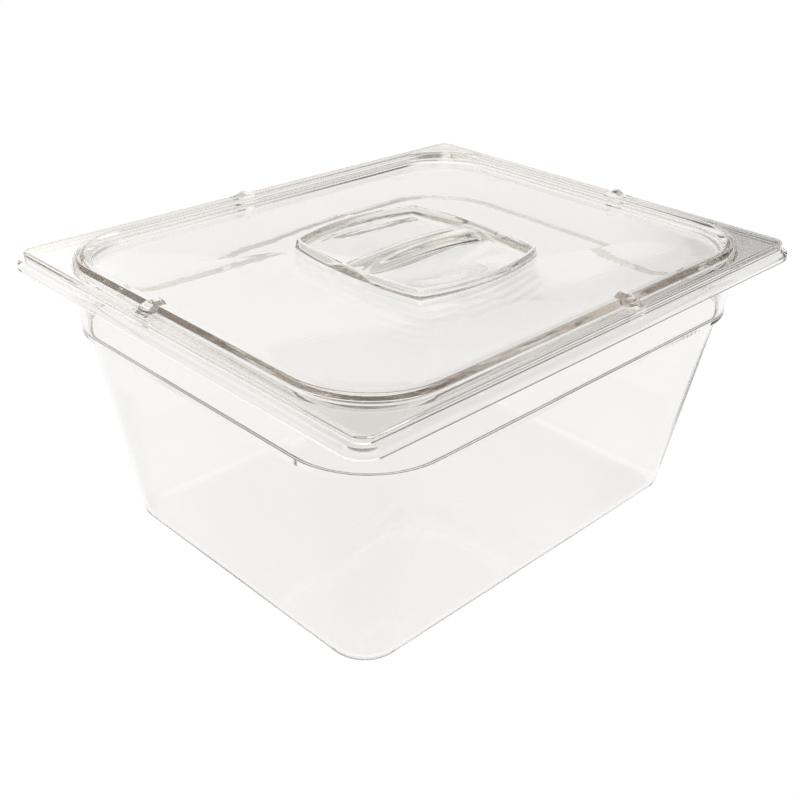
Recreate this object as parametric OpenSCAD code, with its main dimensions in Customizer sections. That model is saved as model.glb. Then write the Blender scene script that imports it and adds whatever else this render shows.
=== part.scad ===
// Half-size gastronorm food pan with its hard lid, both moulded in clear plastic.
// Sizes are in millimetres. X runs along the short side, Y along the long side and Z is up.
// The pan stands on z = 0 with its middle on the Z axis.

/* [Pan] */
// Width over the flange, along X
pan_w = 265; // [220:1:330]
// Length over the flange, along Y
pan_l = 325; // [270:1:400]
// Height from the base to the top of the flange
pan_h = 152; // [120:1:200]
// Thickness of the walls
wall_t = 2.8; // [2:0.1:4]
// Thickness of the floor
floor_t = 3; // [2:0.1:5]
// Radius of the upright corners, where the neck meets the flange
body_corner_r = 44.5; // [36:0.5:56]
// How far the walls lean in, from the ledge down to the base
wall_lean = 20; // [8:0.5:24]
// Outer radius where the walls turn into the base
base_fillet_r = 9; // [5:0.5:13]

/* [Neck and flange of the pan] */
// Distance from the outer edge of the flange to the neck
neck_inset = 11.5; // [10.5:0.5:18]
// Height from the stacking ledge to the top of the flange
neck_h = 34; // [26:1:60]
// How far the neck leans in, from the flange down to the ledge
neck_lean = 1; // [0.5:0.5:3]
// How far the stacking ledge steps in
ledge_w = 3; // [3:0.5:6]
// Outer radius of the ledge's edge
ledge_edge_r = 2.4; // [1:0.2:3]
// Thickness of the flange and of its lip
flange_t = 2.8; // [2:0.1:4]
// Corner radius of the flange, seen from above
flange_corner_r = 12; // [9:1:20]
// Height of the flange's lip, from its lower edge to the top of the flange
lip_h = 5; // [4:0.5:12]
// Radius of the flange's rounded outer edge
flange_edge_r = 2.4; // [1:0.2:3.6]

/* [Lid] */
// Thickness of the lid
lid_t = 2.5; // [1.8:0.1:3.5]
// Distance from the outer edge of the pan to the outer edge of the lid
lid_inset = 4; // [1:0.5:6]
// Corner radius of the lid, seen from above
lid_corner_r = 7; // [5:1:14]
// Height of the lid's lip, from its lower edge to the top of the lid's flange
lid_lip_h = 4; // [3.5:0.5:8]
// Width of the lid's flat flange, from its outer edge to the foot of the rim
lid_flange_w = 8; // [6:0.5:8.5]
// Height of the raised rim above the lid's flange
rim_h = 2.8; // [2:0.2:8]
// How far each flank of the rim leans
rim_lean = 1.8; // [1:0.2:4]
// How far the panel lies below the top of the rim
panel_drop = 6; // [4:0.5:9]
// Radius where the rim's inner flank turns into the panel
panel_fillet_r = 4; // [2:0.5:6]
// Gap between the lid's lip and the pan's flange
seat_gap = 0.3; // [0.2:0.1:0.6]
// Gap all round between the lid's sunken panel and the pan's mouth
plug_gap = 0.9; // [0.5:0.1:2]

/* [Grip in the lid] */
// Width of the grip's collar at its middle, along X
grip_w = 109; // [80:1:126]
// Length of the grip's collar at its middle, along Y
grip_l = 100; // [80:1:120]
// Radius of the collar's two long sides, which bow out along X
grip_side_r = 128; // [110:1:400]
// Radius of the collar's two end sides, which bow out along Y
grip_end_r = 200; // [160:1:500]
// Height of the collar above the panel
collar_h = 4.5; // [3:0.5:8]
// Depth of the finger hollows below the panel
hollow_depth = 7; // [5:0.5:12]
// Width of the bar between the hollows, at its foot
bar_w = 30; // [24:1:40]
// Width of the bar at its crown
bar_crown_w = 14; // [11:1:20]
// Height of the middle of the bar above the panel
bar_h = 5.5; // [3:0.5:8]
// Radius of the arch of the bar, seen from the side
bar_arch_r = 300; // [200:10:900]

/* [Rib across the rim, one on each side] */
// Radius of the half-round rib
rib_r = 6; // [4:0.5:8]
// Height of the rib above the rim
rib_rise = 1.6; // [1:0.2:3]
// Distance of each rib from the middle of its side
rib_offset = 21; // [0:1:40]

/* [Hidden] */

$fn = 96;
overlap = 1;          // how far cutters run past the faces they cut
arc_steps = 6;        // straight steps in a quarter of a small fillet
scoop_steps = 10;     // straight steps in each finger hollow's slope
least_r = 0.4;        // smallest radius inside the ledge

clear_pan = [0.90, 0.91, 0.91, 0.45];
clear_lid = [0.86, 0.88, 0.88, 0.50];

// The corner axes of the body. Every upright corner of the body turns about them.
axis_inset = neck_inset + body_corner_r;
body_cx = pan_w / 2 - axis_inset;
body_cy = pan_l / 2 - axis_inset;

// Heights on the pan
flange_under_z = pan_h - flange_t;
lip_z = pan_h - lip_h;
ledge_z = pan_h - neck_h;

// Radii of the body about the corner axes, from the top down
neck_top_u = body_corner_r;
neck_low_u = neck_top_u - neck_lean;
wall_top_u = neck_low_u - ledge_w;
wall_low_u = wall_top_u - wall_lean;
wall_angle = atan(wall_lean / ledge_z);

// Heights on the lid
lid_lip_z = pan_h + seat_gap;
lid_flange_z = lid_lip_z + lid_lip_h;
lid_under_z = lid_flange_z - lid_t;
rim_z = lid_flange_z + rim_h;
panel_z = rim_z - panel_drop;
panel_under_z = panel_z - lid_t;
collar_z = panel_z + collar_h;
hollow_z = panel_z - hollow_depth;
hollow_bowl_r = ((grip_l / 2 - lid_t) ^ 2 + hollow_depth ^ 2) / (2 * hollow_depth);
bar_z = panel_z + bar_h;

// Radii on the lid about the corner axes
rim_foot_u = axis_inset - lid_inset - lid_flange_w;
rim_outer_u = rim_foot_u - rim_lean;
plug_u = neck_top_u - wall_t - plug_gap;
rim_inner_u = plug_u - lid_t;
panel_u = rim_inner_u - rim_lean;
rim_angle = atan(rim_lean / panel_drop);
panel_fillet_u = panel_u + panel_fillet_r * (tan(rim_angle) - 1 / cos(rim_angle));

// Points of an arc from angle a0 to angle a1 about c
function arc(c, r, a0, a1, steps = arc_steps) =
    [for (i = [0 : steps]) let (a = a0 + (a1 - a0) * i / steps) c + r * [cos(a), sin(a)]];

// A block with four round upright corners. outline gives half its section: distance from the corner
// axis, and height. The corner axes stand at (+-cx, +-cy).
module swept_block(cx, cy, outline) {
    heights = [for (p = outline) p[1]];
    for (sx = [0, 1], sy = [0, 1])
        mirror([sx, 0, 0]) mirror([0, sy, 0]) translate([cx, cy, 0])
            rotate_extrude(angle = 90) polygon(outline);
    for (s = [0, 1]) {
        mirror([s, 0, 0]) translate([cx, 0, 0])
            rotate([90, 0, 0]) linear_extrude(2 * cy, center = true) polygon(outline);
        mirror([0, s, 0]) translate([0, cy, 0])
            rotate([90, 0, 90]) linear_extrude(2 * cx, center = true) polygon(outline);
    }
    translate([-cx, -cy, min(heights)]) cube([2 * cx, 2 * cy, max(heights) - min(heights)]);
}

// Corner-axis distances and half-section of a flat plate with a rounded top edge
module plate(w, l, corner_r, z0, z1, edge_r) {
    swept_block(w / 2 - corner_r, l / 2 - corner_r, concat(
        [[0, z0], [corner_r, z0]],
        arc([corner_r - edge_r, z1 - edge_r], edge_r, 0, 90),
        [[0, z1]]));
}

// Half-section of the pan's body. grow is negative for the inside, and base is its lowest height.
function body_outline(grow, base, fillet, top) =
    let (
        low_u = wall_low_u + grow / cos(wall_angle) + base * tan(wall_angle),
        fillet_u = low_u - fillet * (1 - sin(wall_angle)) / cos(wall_angle),
        shelf_z = ledge_z - grow,
        shelf_r = max(ledge_edge_r + grow, least_r),
        shelf_u = neck_low_u + grow
    )
    concat(
        [[0, base]],
        arc([fillet_u, base + fillet], fillet, -90, -wall_angle),
        [[wall_top_u + grow / cos(wall_angle) - grow * tan(wall_angle), shelf_z]],
        arc([shelf_u - shelf_r, shelf_z + shelf_r], shelf_r, -90, 0),
        [[neck_top_u + grow, flange_under_z], [neck_top_u + grow, top], [0, top]]
    );

module pan() {
    color(clear_pan) difference() {
        union() {
            swept_block(body_cx, body_cy, body_outline(0, 0, base_fillet_r, flange_under_z));
            difference() {
                plate(pan_w, pan_l, flange_corner_r, lip_z, pan_h, flange_edge_r);
                plate(pan_w - 2 * flange_t, pan_l - 2 * flange_t, flange_corner_r - flange_t,
                      lip_z - overlap, flange_under_z, flange_edge_r / 2);
            }
        }
        swept_block(body_cx, body_cy,
                    body_outline(-wall_t, floor_t, base_fillet_r - wall_t, pan_h + overlap));
    }
}

// The barrel shape of the grip seen from above, drawn in by inset and standing from z0 to z1
module barrel(inset, z0, z1) {
    side_r = grip_side_r - inset;
    end_r = grip_end_r - inset;
    side_x = grip_side_r - grip_w / 2;
    end_y = grip_end_r - grip_l / 2;
    translate([0, 0, z0]) intersection() {
        translate([side_x, 0, 0]) cylinder(h = z1 - z0, r = side_r);
        translate([-side_x, 0, 0]) cylinder(h = z1 - z0, r = side_r);
        translate([0, end_y, 0]) cylinder(h = z1 - z0, r = end_r);
        translate([0, -end_y, 0]) cylinder(h = z1 - z0, r = end_r);
    }
}

// The floor of one finger hollow, from the foot of the bar out to the collar: a smooth rising slope
function hollow_floor(drop) =
    let (x0 = bar_w / 2, x1 = grip_w / 2, z0 = hollow_z - drop, z1 = panel_z - drop)
    [for (i = [0 : scoop_steps]) let (s = i / scoop_steps)
        [x0 + (x1 - x0) * s, z0 + (z1 - z0) * (1 - cos(180 * s)) / 2]];

// Section of everything above the hollows' floor and beside the bar, for one side of the bar
module above_hollow() {
    top_z = collar_z + bar_h + overlap;
    crown_x = bar_crown_w / 2;
    polygon(concat(
        [[crown_x, top_z], [crown_x, bar_z]],
        hollow_floor(0),
        [[grip_w / 2 + overlap, panel_z], [grip_w / 2 + overlap, top_z]]));
}

// A long prism along Y from a section drawn in X and Z
module along_y(length) {
    rotate([90, 0, 0]) linear_extrude(length, center = true) children();
}

// The arch of the bar: everything below it, over the grip's length, lowered by drop
module below_arch(drop) {
    translate([-grip_w / 2, 0, bar_z - bar_arch_r - drop]) rotate([0, 90, 0])
        cylinder(h = grip_w, r = bar_arch_r);
}

// The bowl that rounds off both ends of the finger hollows, lowered by drop
module hollow_bowl(drop) {
    length = grip_w + 2 * overlap;
    translate([-length / 2, 0, hollow_z - drop + hollow_bowl_r]) rotate([0, 90, 0])
        cylinder(h = length, r = hollow_bowl_r);
}

// What is cut out inside the collar: the two finger hollows, and the space over the arched bar
module grip_recess() {
    top_z = collar_z + bar_h + overlap;
    intersection() {
        barrel(lid_t, hollow_z - overlap, top_z);
        union() {
            for (s = [0, 1])
                mirror([s, 0, 0]) intersection() {
                    along_y(grip_l) above_hollow();
                    hollow_bowl(0);
                }
            difference() {
                translate([-bar_w / 2, -grip_l / 2, panel_z - bar_h])
                    cube([bar_w, grip_l, top_z - panel_z + bar_h]);
                below_arch(0);
            }
        }
    }
}

// The hollow inside the bar, open from below
module bar_cavity() {
    low_x = bar_w / 2 - lid_t;
    high_x = bar_crown_w / 2 - lid_t;
    low_z = hollow_z - lid_t - overlap;
    intersection() {
        barrel(2 * lid_t, low_z, bar_z);
        below_arch(lid_t);
        along_y(grip_l)
            polygon([[-low_x, low_z], [low_x, low_z], [low_x, hollow_z], [high_x, bar_z],
                     [-high_x, bar_z], [-low_x, hollow_z]]);
    }
}

// The block that the grip is cut from, following the hollows underneath
module grip_block() {
    low_z = hollow_z - lid_t;
    edge = grip_w / 2;
    intersection() {
        barrel(0, low_z - overlap, collar_z);
        along_y(grip_l)
            polygon(concat(
                [[-edge - overlap, collar_z], [-edge - overlap, panel_under_z]],
                [for (i = [scoop_steps : -1 : 0]) let (p = hollow_floor(lid_t)[i]) [-p[0], p[1]]],
                hollow_floor(lid_t),
                [[edge + overlap, panel_under_z], [edge + overlap, collar_z]]));
        union() {
            hollow_bowl(lid_t);
            translate([-edge, -grip_l / 2, panel_under_z])
                cube([grip_w, grip_l, collar_z - panel_under_z]);
        }
    }
}

// A half-round rib that crosses the flange and the rim of the lid, on the side that faces -Y
module rib(half_length, offset) {
    top_z = rim_z + rib_rise;
    outer_y = half_length - lid_inset - lid_t;
    inner_y = half_length - axis_inset + rim_inner_u;
    intersection() {
        translate([-offset, -outer_y, top_z - rib_r]) rotate([-90, 0, 0])
            cylinder(h = outer_y - inner_y, r = rib_r);
        translate([-offset - rib_r, -outer_y, lid_under_z])
            cube([2 * rib_r, outer_y - inner_y, top_z - lid_under_z]);
    }
}

module lid() {
    color(clear_lid) difference() {
        union() {
            difference() {
                plate(pan_w - 2 * lid_inset, pan_l - 2 * lid_inset, lid_corner_r,
                      lid_lip_z, lid_flange_z, lid_t / 2);
                plate(pan_w - 2 * (lid_inset + lid_t), pan_l - 2 * (lid_inset + lid_t),
                      lid_corner_r - lid_t, lid_lip_z - overlap, lid_under_z, lid_t / 4);
            }
            swept_block(body_cx, body_cy, [
                [0, panel_under_z],
                [plug_u - rim_lean, panel_under_z],
                [plug_u, lid_under_z],
                [rim_foot_u, lid_under_z],
                [rim_foot_u, lid_flange_z],
                [rim_outer_u, rim_z],
                [0, rim_z]]);
            for (s = [0, 1]) {
                mirror([s, 0, 0]) mirror([0, s, 0]) rib(pan_l / 2, rib_offset);
                mirror([s, 0, 0]) mirror([0, s, 0]) rotate([0, 0, 90]) rib(pan_w / 2, -rib_offset);
            }
        }
        difference() {
            swept_block(body_cx, body_cy, concat(
                [[0, panel_z]],
                arc([panel_fillet_u, panel_z + panel_fillet_r], panel_fillet_r, -90, -rim_angle),
                [[rim_inner_u, rim_z], [rim_inner_u, rim_z + rib_rise + overlap],
                 [0, rim_z + rib_rise + overlap]]));
            grip_block();
        }
        grip_recess();
        bar_cavity();
    }
    color(clear_lid) difference() {
        grip_block();
        grip_recess();
        bar_cavity();
    }
}

pan();
lid();
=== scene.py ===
import math

import bmesh
import bpy
from mathutils import Matrix, Vector


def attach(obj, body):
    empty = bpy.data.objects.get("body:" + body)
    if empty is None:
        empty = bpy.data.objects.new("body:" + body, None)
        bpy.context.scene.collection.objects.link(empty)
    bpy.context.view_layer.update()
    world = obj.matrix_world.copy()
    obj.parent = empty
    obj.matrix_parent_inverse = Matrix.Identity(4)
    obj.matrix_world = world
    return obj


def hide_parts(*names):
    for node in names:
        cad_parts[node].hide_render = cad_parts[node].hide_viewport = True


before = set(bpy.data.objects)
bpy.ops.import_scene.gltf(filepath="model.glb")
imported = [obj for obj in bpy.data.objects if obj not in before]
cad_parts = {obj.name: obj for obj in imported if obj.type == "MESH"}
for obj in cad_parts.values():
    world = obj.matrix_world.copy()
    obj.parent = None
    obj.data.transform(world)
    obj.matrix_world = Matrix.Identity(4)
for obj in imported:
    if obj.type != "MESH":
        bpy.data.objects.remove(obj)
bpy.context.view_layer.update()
print("frame loaded")

mm = 0.001
quarterTurn = math.pi / 2

# Points closer than joinGap metres become one, and edges bent more than sharpAngle degrees stay crisp
meshFinish = {"joinGap": 0.00001, "sharpAngle": 50, "flatWeight": 60}


# A section is a list of corners: inset from the pan's outer edge, height, fillet radius,
# and how far in from the edge the upright corner axis stands. All in millimetres.
def roundSection(corners, steps):
    points = []
    for i, (inset, height, fillet, axis) in enumerate(corners):
        here = Vector((inset, height))
        if fillet == 0 or i in (0, len(corners) - 1):
            points.append((here.x, here.y, axis))
            continue
        before = (Vector(corners[i - 1][:2]) - here).normalized()
        after = (Vector(corners[i + 1][:2]) - here).normalized()
        half = before.angle(after) / 2
        reach = fillet / math.tan(half)
        centre = here + (before + after).normalized() * fillet / math.sin(half)
        first = here + before * reach - centre
        last = here + after * reach - centre
        swing = first.angle_signed(last)
        for k in range(steps + 1):
            spoke = first.copy()
            spoke.rotate(Matrix.Rotation(-swing * k / steps, 2))
            spot = centre + spoke
            points.append((spot.x, spot.y, axis))
    return points


# Places of one closed loop round the pan: a quarter circle at each corner, with extra points
# on the straight sides where a rib crosses
def ringSpots(size, inset, height, axis, ribs=None, lift=0):
    halfX = (size["width"] / 2 - inset) * mm
    halfY = (size["length"] / 2 - inset) * mm
    radius = (axis - inset) * mm
    spots = []
    for turn, (sideX, sideY) in enumerate(((1, 1), (-1, 1), (-1, -1), (1, -1))):
        pivot = Vector((sideX * (halfX - radius), sideY * (halfY - radius), height * mm))
        for step in range(size["cornerSteps"] + 1):
            angle = (turn + step / size["cornerSteps"]) * quarterTurn
            spots.append(pivot + Vector((math.cos(angle), math.sin(angle), 0)) * radius)
        if ribs:
            alongX = turn % 2 == 0
            facing = Matrix.Rotation((turn + 1) * quarterTurn, 3, "Z")
            out = halfY if alongX else halfX
            middle = -ribs["offset"] if alongX else ribs["offset"]
            for step in ribs["stations"]:
                bulge = math.sqrt(max(ribs["radius"] ** 2 - step ** 2, 0))
                crown = ribs["top"] - ribs["radius"] + bulge
                spot = facing @ Vector((out, (middle + step) * mm, 0))
                spot.z = max(height, height + (crown - height) * lift) * mm
                spots.append(spot)
    return spots


def loopEdges(bm, loop):
    return [bm.edges.get(pair) for pair in zip(loop, loop[1:] + loop[:1])]


# Extrudes a closed loop and gives the new vertices in the same order
def extrudeRing(bm, loop):
    made = set(bmesh.ops.extrude_edge_only(bm, edges=loopEdges(bm, loop))["geom"])
    return [next(e.other_vert(v) for e in v.link_edges if e.other_vert(v) in made) for v in loop]


# Sweeps a section round the pan, one extruded loop after another, and gives its two end loops
def addShell(bm, size, points, ribs=None, lifts=None):
    loop = None
    for inset, height, axis in points:
        spots = ringSpots(size, inset, height, axis, ribs, lifts(inset, height) if lifts else 0)
        if loop is None:
            loop = bmesh.ops.create_circle(bm, segments=len(spots), radius=mm)["verts"]
            first = loop
        else:
            loop = extrudeRing(bm, loop)
        for v, spot in zip(loop, spots):
            v.co = spot
    return first, loop


def finishPiece(bm, name, material):
    bmesh.ops.remove_doubles(bm, verts=bm.verts, dist=meshFinish["joinGap"])
    bmesh.ops.recalc_face_normals(bm, faces=bm.faces)
    mesh = bpy.data.meshes.new(name)
    bm.to_mesh(mesh)
    bm.free()
    mesh.shade_smooth()
    mesh.set_sharp_from_angle(angle=math.radians(meshFinish["sharpAngle"]))
    mesh.materials.append(material)
    piece = bpy.data.objects.new(name, mesh)
    bpy.context.scene.collection.objects.link(piece)
    even = piece.modifiers.new("even shading", "WEIGHTED_NORMAL")
    even.keep_sharp = True
    even.weight = meshFinish["flatWeight"]
    piece.visible_shadow = False  # light goes through the clear plastic
    return piece


# The pan is moulded a little paler than the lid. Both carry faint flow waves from the mould and
# the fine rub marks of stacking.
clearPanLook = {
    "ior": 1.58, "roughness": 0.0, "transmission": 1,
    "paleTint": (0.965, 0.962, 0.955, 1), "deepTint": (0.948, 0.943, 0.932, 1),
    "tintSize": 6, "tintEdges": (0.35, 0.65),
    "bodyColour": (0.36, 0.27, 0.17, 1), "bodyDensity": 3.4,
    "waveSize": 14, "waveDetail": 1, "waveDepth": 0.02,
    "rubStretch": (500, 60, 500), "rubSize": 1, "rubDepth": 0.0012,
    "bumpReach": 0.01,
}
clearLidLook = dict(clearPanLook)
clearLidLook["paleTint"] = (0.957, 0.952, 0.942, 1)
clearLidLook["deepTint"] = (0.938, 0.931, 0.917, 1)
clearLidLook["rubDepth"] = 0.0016


def addNoise(nodes, links, place, size, detail):
    noise = nodes.new("ShaderNodeTexNoise")
    noise.inputs["Scale"].default_value = size
    noise.inputs["Detail"].default_value = detail
    links.new(place, noise.inputs["Vector"])
    return noise.outputs["Fac"]


def addBump(nodes, links, height, depth, reach, before=None):
    bump = nodes.new("ShaderNodeBump")
    bump.inputs["Strength"].default_value = depth
    bump.inputs["Distance"].default_value = reach
    links.new(height, bump.inputs["Height"])
    if before:
        links.new(before, bump.inputs["Normal"])
    return bump.outputs["Normal"]


# Faint cloudiness in the tint, from pale to deep
def addTint(nodes, links, place, look):
    cloud = addNoise(nodes, links, place, look["tintSize"], look["waveDetail"])
    tint = nodes.new("ShaderNodeValToRGB")
    tints = (look["paleTint"], look["deepTint"])
    for stop, edge, colour in zip(tint.color_ramp.elements, look["tintEdges"], tints):
        stop.position = edge
        stop.color = colour
    links.new(cloud, tint.inputs["Fac"])
    return tint.outputs["Color"]


# Flow waves with rub marks over them, which run along the long side
def addMarks(nodes, links, place, look):
    wave = addNoise(nodes, links, place, look["waveSize"], look["waveDetail"])
    waved = addBump(nodes, links, wave, look["waveDepth"], look["bumpReach"])
    stretch = nodes.new("ShaderNodeMapping")
    stretch.inputs["Scale"].default_value = look["rubStretch"]
    links.new(place, stretch.inputs["Vector"])
    rubs = addNoise(nodes, links, stretch.outputs["Vector"], look["rubSize"], look["waveDetail"])
    return addBump(nodes, links, rubs, look["rubDepth"], look["bumpReach"], waved)


def makeClear(name, look):
    material = bpy.data.materials.new(name)
    material.use_nodes = True
    nodes, links = material.node_tree.nodes, material.node_tree.links
    shader = nodes["Principled BSDF"]
    shader.inputs["Roughness"].default_value = look["roughness"]
    shader.inputs["IOR"].default_value = look["ior"]
    shader.inputs["Transmission Weight"].default_value = look["transmission"]
    place = nodes.new("ShaderNodeTexCoord").outputs["Object"]
    links.new(addTint(nodes, links, place, look), shader.inputs["Base Color"])
    links.new(addMarks(nodes, links, place, look), shader.inputs["Normal"])
    body = nodes.new("ShaderNodeVolumeAbsorption")  # long ways through the plastic turn brown
    body.inputs["Color"].default_value = look["bodyColour"]
    body.inputs["Density"].default_value = look["bodyDensity"]
    links.new(body.outputs["Volume"], nodes["Material Output"].inputs["Volume"])
    return material


clearPan = makeClear("clear pan plastic", clearPanLook)
clearLid = makeClear("clear lid plastic", clearLidLook)
print("clear plastic ready")

# Reaches are measured out from the body's corner axis, and heights up from the worktop
panSize = {
    "width": 265, "length": 325, "height": 152, "cornerSteps": 20, "filletSteps": 5,
    "bodyAxis": 56, "flangeAxis": 12, "wall": 2.8, "floor": 3, "flatEnd": 14,
    "baseReach": 20.5, "wallReach": 40.5, "ledgeReach": 43.5, "neckReach": 44.5,
    "ledgeHeight": 118, "flangeThickness": 2.8, "lipHeight": 5,
    "baseFillet": 9, "edgeFillet": 2.4, "wallTopFillet": 0.5, "ledgeFillet": 1.1,
    "neckTopFillet": 1.0, "lipRootFillet": 0.9, "lipInnerFillet": 0.4, "lipOuterFillet": 0.6,
    "mouthFillet": 1.4, "shelfFillet": 1.2,
}


def panSection(s):
    body, flange = s["bodyAxis"], s["flangeAxis"]
    lean = math.atan((s["wallReach"] - s["baseReach"]) / s["ledgeHeight"])
    under = s["height"] - s["flangeThickness"]
    lipFoot = s["height"] - s["lipHeight"]
    shelf = s["ledgeHeight"] + s["wall"]
    skin = s["wall"] / math.cos(lean)
    insideTop = s["wallReach"] - skin + s["wall"] * math.tan(lean)
    insideBase = s["baseReach"] - skin + s["floor"] * math.tan(lean)
    return [
        (body - s["baseReach"] + s["flatEnd"], 0, 0, body),
        (body - s["baseReach"], 0, s["baseFillet"], body),
        (body - s["wallReach"], s["ledgeHeight"], s["wallTopFillet"], body),
        (body - s["ledgeReach"], s["ledgeHeight"], s["ledgeFillet"], body),
        (body - s["neckReach"], under, s["neckTopFillet"], body),
        (s["flangeThickness"], under, s["lipRootFillet"], flange),
        (s["flangeThickness"], lipFoot, s["lipInnerFillet"], flange),
        (0, lipFoot, s["lipOuterFillet"], flange),
        (0, s["height"], s["edgeFillet"], flange),
        (body - s["neckReach"] + s["wall"], s["height"], s["mouthFillet"], body),
        (body - s["ledgeReach"] + s["wall"], shelf, s["shelfFillet"], body),
        (body - insideTop, shelf, s["shelfFillet"], body),
        (body - insideBase, s["floor"], s["baseFillet"] - s["wall"], body),
        (body - insideBase + s["flatEnd"], s["floor"], 0, body),
    ]


bm = bmesh.new()
panPoints = roundSection(panSection(panSize), panSize["filletSteps"])
underLoop, floorLoop = addShell(bm, panSize, panPoints)
bmesh.ops.contextual_create(bm, geom=loopEdges(bm, underLoop))
bmesh.ops.contextual_create(bm, geom=loopEdges(bm, floorLoop))
panShell = finishPiece(bm, "pan_shell", clearPan)
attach(panShell, "pan")
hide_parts("pan")
print("pan shell made")

# The lid shares the pan's outline and corner axis
lidSize = {
    "width": panSize["width"], "length": panSize["length"],
    "cornerSteps": panSize["cornerSteps"], "filletSteps": panSize["filletSteps"],
    "bodyAxis": panSize["bodyAxis"], "edgeAxis": 11, "edgeInset": 4, "skin": 2.5,
    "lipHeight": 152.3, "flangeHeight": 156.3, "rimHeight": 159.1, "panelHeight": 153.1,
    "footReach": 44, "rimOuterReach": 42.2, "rimInnerReach": 38.3, "panelReach": 36.5,
    "plugReach": 40.8, "plugFootReach": 39.0, "plugEnd": 16, "panelEnd": 12,
    "plugFootFillet": 1.2, "plugTopFillet": 0.8, "lipRootFillet": 0.7, "lipFootFillet": 0.5,
    "edgeFillet": 1.2, "rimFootFillet": 0.7, "rimOuterFillet": 0.8, "rimInnerFillet": 1.0,
    "panelFillet": 4,
}
# Ribs cross the rim where the inset lies between nearInset and farInset
ribShape = {
    "offset": 21, "radius": 6, "top": 160.7, "nearInset": 6.5, "farInset": 18.1, "under": 0.4,
    "stations": [-7.5, -6.2, -5.8, -5.2, -4.2, -2.8, -1.4, 0, 1.4, 2.8, 4.2, 5.2, 5.8, 6.2, 7.5],
}


def lidSection(s):
    body, edge, skin = s["bodyAxis"], s["edgeAxis"], s["skin"]
    under = s["flangeHeight"] - skin
    plugFoot = s["panelHeight"] - skin
    return [
        (body - s["plugFootReach"] + s["plugEnd"], plugFoot, 0, body),
        (body - s["plugFootReach"], plugFoot, s["plugFootFillet"], body),
        (body - s["plugReach"], under, s["plugTopFillet"], body),
        (s["edgeInset"] + skin, under, s["lipRootFillet"], edge),
        (s["edgeInset"] + skin, s["lipHeight"], s["lipFootFillet"], edge),
        (s["edgeInset"], s["lipHeight"], s["lipFootFillet"], edge),
        (s["edgeInset"], s["flangeHeight"], s["edgeFillet"], edge),
        (body - s["footReach"], s["flangeHeight"], s["rimFootFillet"], body),
        (body - s["rimOuterReach"], s["rimHeight"], s["rimOuterFillet"], body),
        (body - s["rimInnerReach"], s["rimHeight"], s["rimInnerFillet"], body),
        (body - s["panelReach"], s["panelHeight"], s["panelFillet"], body),
        (body - s["panelReach"] + s["panelEnd"], s["panelHeight"], 0, body),
    ]


def ribLift(inset, height):
    low = height < lidSize["flangeHeight"] - ribShape["under"]
    if low or inset < ribShape["nearInset"] or inset > ribShape["farInset"]:
        return 0
    return 1


# collarEdge, hollowEdge and underEdge are how far in from the grip's outline each slope begins
# and ends. gridStep is the grid's spacing, and fineSteps are the closer lines near the outline.
gripShape = {
    "width": 109, "length": 100, "sideRadius": 128, "endRadius": 200,
    "collarHeight": 4.5, "hollowDepth": 7, "barFoot": 30, "barCrown": 14, "barHeight": 5.5,
    "barArch": 300, "barBlend": 1.5, "skin": 2.5, "blend": 1.2,
    "collarEdge": (0, 1.1), "hollowEdge": (2.2, 4.0), "underEdge": (1.5, 3.4),
    "cornerRounds": 40, "gridStep": 2,
    "fineSteps": [4.6, 4.2, 3.8, 3.4, 3.0, 2.6, 2.2, 1.8, 1.4, 1.1, 0.9, 0.7, 0.5, 0.3, 0.15, 0],
}


def easeStep(low, high, value):
    t = min(max((value - low) / (high - low), 0), 1)
    return t * t * (3 - 2 * t)


def smoothMin(a, b, blend):
    t = max(blend - abs(a - b), 0) / blend
    return min(a, b) - t * t * blend / 4


# Distance in from the barrel-shaped outline of the grip
def insideGrip(g, x, y):
    side = g["sideRadius"] - math.hypot(abs(x) + g["sideRadius"] - g["width"] / 2, y)
    end = g["endRadius"] - math.hypot(x, abs(y) + g["endRadius"] - g["length"] / 2)
    return smoothMin(side, end, g["blend"])


# Height of the hand hold above the panel: two finger hollows with an arched bar between them
def handHold(g, x, y):
    reach = g["width"] / 2
    across = min(max((abs(x) - g["barFoot"] / 2) / (reach - g["barFoot"] / 2), 0), 1)
    bowl = max(1 - (y / (g["length"] / 2 - g["skin"])) ** 2, 0)
    hollow = -g["hollowDepth"] * (1 + math.cos(math.pi * across)) / 2 * bowl
    arch = g["barHeight"] - g["barArch"] + math.sqrt(g["barArch"] ** 2 - y ** 2)
    crownEdge = g["barCrown"] / 2 - g["barBlend"]
    footEdge = g["barFoot"] / 2 + g["barBlend"]
    crown = 1 - easeStep(crownEdge, footEdge, abs(x))
    return hollow + (arch - hollow) * crown


def gripTop(g, x, y):
    d = insideGrip(g, x, y)
    collar = g["collarHeight"] * easeStep(*g["collarEdge"], d)
    return collar + (handHold(g, x, y) - collar) * easeStep(*g["hollowEdge"], d)


def gripUnder(g, x, y):
    d = insideGrip(g, x, y)
    hold = handHold(g, x, y) - g["skin"]
    return -g["skin"] + (hold + g["skin"]) * easeStep(*g["underEdge"], d)


# The bulging side of the grip at a place along it, and the bulging end at a place across it
def gripSide(g, y):
    return g["width"] / 2 - g["sideRadius"] + math.sqrt(g["sideRadius"] ** 2 - y ** 2)


def gripEnd(g, x):
    return g["length"] / 2 - g["endRadius"] + math.sqrt(g["endRadius"] ** 2 - x ** 2)


# The corner where side and end meet, closed in on step by step
def gripCorner(g):
    x, y = g["width"] / 2, g["length"] / 2
    for _ in range(g["cornerRounds"]):
        x = gripSide(g, y)
        y = gripEnd(g, x)
    return x, y


# Grid lines from the middle out to the edge, closer together at the collar
def gripLines(g, half):
    inner = half - g["fineSteps"][0]
    count = int(inner / g["gridStep"])
    lines = [inner * i / count for i in range(count)] + [half - f for f in g["fineSteps"]]
    return [-v for v in reversed(lines[1:])] + lines


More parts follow.
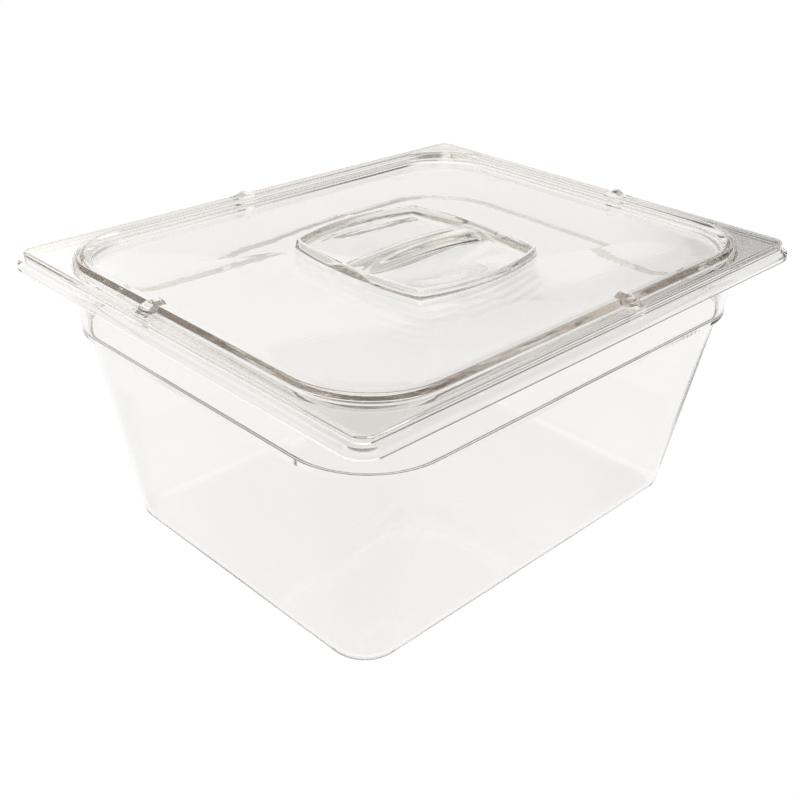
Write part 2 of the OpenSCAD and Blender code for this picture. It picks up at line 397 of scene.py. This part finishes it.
# Shapes a grid into one face of the grip and gives its outer edges
def addGrip(bm, g, level, shape):
    cornerX, cornerY = gripCorner(g)
    linesX, linesY = gripLines(g, cornerX), gripLines(g, cornerY)
    countX, countY = len(linesX) - 1, len(linesY) - 1
    grid = bmesh.ops.create_grid(bm, x_segments=countX, y_segments=countY, size=1)["verts"]
    for v in grid:
        u = linesX[round((v.co.x + 1) / 2 * countX)]
        w = linesY[round((v.co.y + 1) / 2 * countY)]
        x, y = u / cornerX * gripSide(g, w), w / cornerY * gripEnd(g, u)
        v.co = Vector((x, y, level + shape(g, x, y))) * mm
    made = set(grid)
    return [e for e in bm.edges if e.is_boundary and e.verts[0] in made]


bm = bmesh.new()
lidPoints = roundSection(lidSection(lidSize), lidSize["filletSteps"])
underLoop, panelLoop = addShell(bm, lidSize, lidPoints, ribShape, ribLift)
topEdges = addGrip(bm, gripShape, lidSize["panelHeight"], gripTop)
underEdges = addGrip(bm, gripShape, lidSize["panelHeight"] - lidSize["skin"], gripUnder)
fills = (
    (loopEdges(bm, panelLoop) + topEdges, (0, 0, 1)),
    (loopEdges(bm, underLoop) + underEdges, (0, 0, -1)),
)
for edges, facing in fills:
    bmesh.ops.triangle_fill(bm, use_beauty=True, use_dissolve=False, edges=edges, normal=facing)
lidShell = finishPiece(bm, "lid_shell", clearLid)
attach(lidShell, "lid")
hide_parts("lid")
print("lid shell made")

# A white floor that glows by itself, in metres
floorLook = {
    "size": 80, "drop": 0.0005, "base": (0, 0, 0, 1), "roughness": 1, "specular": 0,
    "tone": (1, 1, 1, 1), "glow": 1.01,
}


def makeFloor(look):
    bm = bmesh.new()
    bmesh.ops.create_grid(bm, x_segments=1, y_segments=1, size=look["size"] / 2)
    mesh = bpy.data.meshes.new("floor")
    bm.to_mesh(mesh)
    bm.free()
    floor = bpy.data.objects.new("floor", mesh)
    floor.location.z = -look["drop"]
    bpy.context.scene.collection.objects.link(floor)
    material = bpy.data.materials.new("floor white")
    material.use_nodes = True
    paint = material.node_tree.nodes["Principled BSDF"]
    paint.inputs["Base Color"].default_value = look["base"]
    paint.inputs["Roughness"].default_value = look["roughness"]
    paint.inputs["Specular IOR Level"].default_value = look["specular"]
    paint.inputs["Emission Color"].default_value = look["tone"]
    paint.inputs["Emission Strength"].default_value = look["glow"]
    mesh.materials.append(material)
    return floor


floor = makeFloor(floorLook)
print("floor ready")

# Panels round the pan, bright or dark: where each one stands in degrees, how wide it is, how bright
# it is against the rest, and how sharp its edge is
studioLight = {
    "tone": (1, 0.97, 0.935, 1), "base": 0.62, "darkest": 0.14, "backdrop": (0.9, 0.895, 0.885, 1),
    "panels": {
        "window": {"azimuth": 148, "elevation": -34, "spread": 60.2, "glow": 0.36, "sharp": 0.992},
        "leftBox": {"azimuth": 178, "elevation": 30, "spread": 28, "glow": 0.6, "sharp": 0.8},
        "topBox": {"azimuth": 0, "elevation": 90, "spread": 46, "glow": 0.7, "sharp": 0.7},
        "darkScreen": {"azimuth": 86, "elevation": 24, "spread": 36, "glow": -1.0, "sharp": 0.75},
    },
}


# Brightness of one panel over every direction round the pan
def addPanel(nodes, links, place, box):
    turn, rise = math.radians(box["azimuth"]), math.radians(box["elevation"])
    level = math.cos(rise)
    aim = nodes.new("ShaderNodeVectorMath")
    aim.operation = "DOT_PRODUCT"
    aim.inputs[1].default_value = (math.cos(turn) * level, math.sin(turn) * level, math.sin(rise))
    links.new(place, aim.inputs[0])
    glow = nodes.new("ShaderNodeMapRange")
    glow.interpolation_type = "SMOOTHSTEP"
    glow.inputs["From Min"].default_value = math.cos(math.radians(box["spread"]))
    glow.inputs["From Max"].default_value = math.cos(math.radians(box["spread"] * box["sharp"]))
    glow.inputs["To Max"].default_value = box["glow"]
    links.new(aim.outputs["Value"], glow.inputs["Value"])
    return glow.outputs["Result"]


def makeWorld(look):
    world = bpy.data.worlds.new("studio")
    world.use_nodes = True
    nodes, links = world.node_tree.nodes, world.node_tree.links
    sky = nodes["Background"]
    sky.inputs["Color"].default_value = look["tone"]
    place = nodes.new("ShaderNodeTexCoord").outputs["Generated"]
    total = None
    for box in look["panels"].values():
        add = nodes.new("ShaderNodeMath")
        add.inputs[1].default_value = look["base"]
        if total:
            links.new(total, add.inputs[1])
        links.new(addPanel(nodes, links, place, box), add.inputs[0])
        total = add.outputs[0]
    least = nodes.new("ShaderNodeMath")
    least.operation = "MAXIMUM"
    least.inputs[1].default_value = look["darkest"]
    links.new(total, least.inputs[0])
    links.new(least.outputs[0], sky.inputs["Strength"])
    backdrop = nodes.new("ShaderNodeBackground")  # what stands behind the pan is plain
    backdrop.inputs["Color"].default_value = look["backdrop"]
    seen = nodes.new("ShaderNodeLightPath")
    mix = nodes.new("ShaderNodeMixShader")
    links.new(seen.outputs["Is Camera Ray"], mix.inputs["Fac"])
    links.new(sky.outputs["Background"], mix.inputs[1])
    links.new(backdrop.outputs["Background"], mix.inputs[2])
    links.new(mix.outputs["Shader"], nodes["World Output"].inputs["Surface"])
    return world


bpy.context.scene.world = makeWorld(studioLight)
bpy.context.scene.view_settings.view_transform = "Standard"

# Light is turned many times inside the clear rims before it leaves them
lightTurns = {"max_bounces": 160, "glossy_bounces": 160, "transmission_bounces": 160}
for name, count in lightTurns.items():
    setattr(bpy.context.scene.cycles, name, count)

cameraPlace = {
    "azimuth": 44.56, "elevation": 28.47, "distance": 0.6302, "target": (-0.0055, -0.0032, 0.0624),
    "roll": 1.6, "lens": 49.84, "sensor": 36,
}


def makeCamera(place):
    lens = bpy.data.cameras.new("camera")
    lens.lens = place["lens"]
    lens.sensor_width = place["sensor"]
    camera = bpy.data.objects.new("camera", lens)
    bpy.context.scene.collection.objects.link(camera)
    turn, rise = math.radians(place["azimuth"]), math.radians(place["elevation"])
    back = Vector((math.sin(turn) * math.cos(rise), -math.cos(turn) * math.cos(rise), math.sin(rise)))
    camera.location = Vector(place["target"]) + back * place["distance"]
    aim = (-back).to_track_quat("-Z", "Y").to_matrix()
    aim = aim @ Matrix.Rotation(math.radians(place["roll"]), 3, "Z")
    camera.rotation_mode = "QUATERNION"
    camera.rotation_quaternion = aim.to_quaternion()
    return camera


bpy.context.scene.camera = makeCamera(cameraPlace)
print("studio ready")
